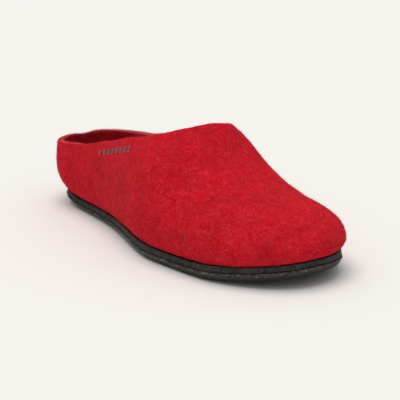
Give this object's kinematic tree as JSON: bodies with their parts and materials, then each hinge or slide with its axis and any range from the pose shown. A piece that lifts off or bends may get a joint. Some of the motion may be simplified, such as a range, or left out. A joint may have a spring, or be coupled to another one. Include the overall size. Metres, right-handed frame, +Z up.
{
  "type": "felt clog slipper",
  "caption": "Felt clog slipper for the right foot: one seamless wool felt shell with a low heel and an open collar, on a thin cupped midsole and a grooved rubber outsole.",
  "frame": {"origin": "on the floor under the middle of the slipper's box", "axes": "+X from heel to toe, +Y towards the inner side of the right foot, +Z up from the floor"},
  "size_m": [0.286, 0.1068, 0.0865],
  "materials": {
    "felt": "thick boiled wool felt, mottled red, matt with short fuzz",
    "footbed_felt": "dark red wool felt, matt",
    "midsole_foam": "matt black, fine grain",
    "sole_rubber": "dark grey rubber with a coarse moulded grain"
  },
  "bodies": {
    "root": {"upper": "felt", "insole": "footbed_felt", "midsole": "midsole_foam", "outsole": "sole_rubber"}
  },
  "joints": []
}
